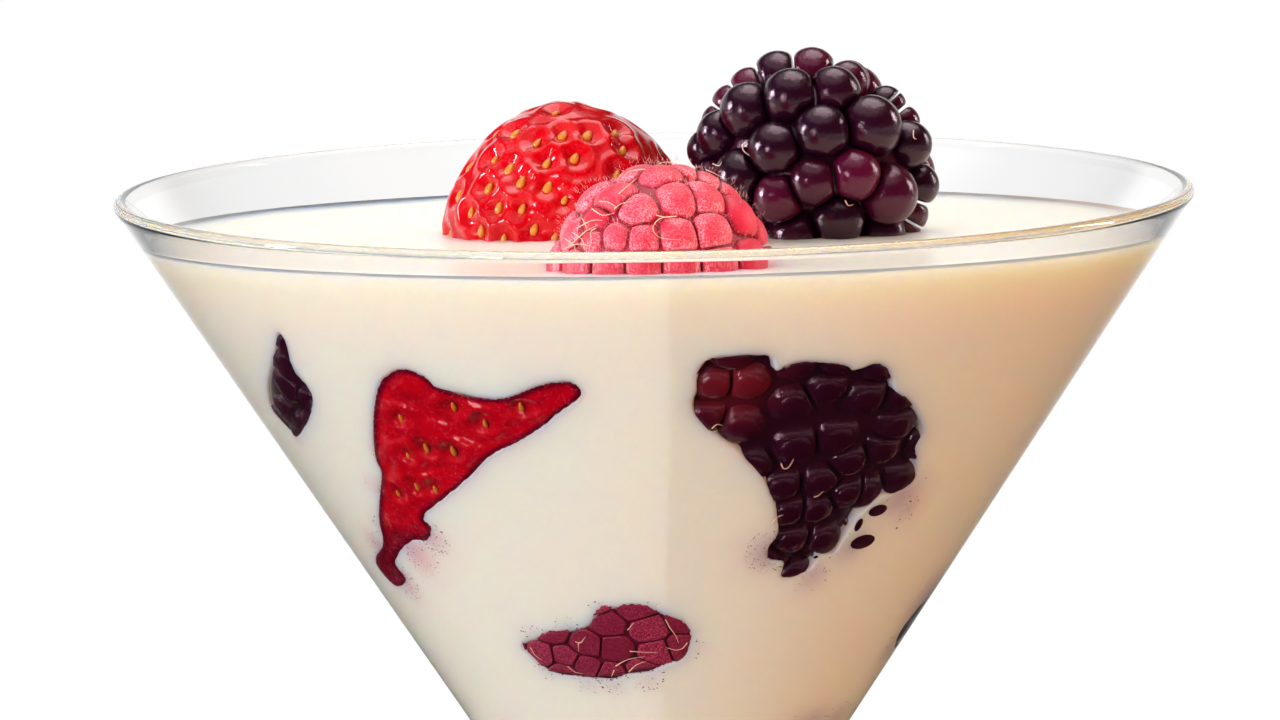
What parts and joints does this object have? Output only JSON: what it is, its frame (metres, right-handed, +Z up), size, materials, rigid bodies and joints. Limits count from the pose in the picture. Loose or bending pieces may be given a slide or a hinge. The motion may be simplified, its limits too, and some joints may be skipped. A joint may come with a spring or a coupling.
{
  "type": "milk gelatin dessert",
  "caption": "Condensed milk gelatin dessert set in a stemmed cocktail glass, with whole berries on top and berries showing through the glass.",
  "frame": {"origin": "centre of the foot's underside, on the surface the glass stands on", "axes": "+Z up along the stem; -Y towards the viewer, with the raspberry at the front and the dark berry at the viewer's right"},
  "size_m": [0.106, 0.106, 0.1892],
  "materials": {
    "glass": "polished",
    "gelatin": "satin",
    "bramble": "gloss",
    "raspberry": "matte",
    "strawberry": "gloss"
  },
  "bodies": {
    "root": {"glass": "glass", "gelatin": "gelatin", "bramble_top": "bramble", "bramble_wall": "bramble", "bramble_left": "bramble", "bramble_right": "bramble", "bramble_rear": "bramble", "raspberry_top": "raspberry", "raspberry_wall": "raspberry", "raspberry_low": "raspberry", "raspberry_rear": "raspberry", "strawberry_top": "strawberry", "strawberry_wall": "strawberry", "strawberry_rear": "strawberry"}
  },
  "joints": []
}
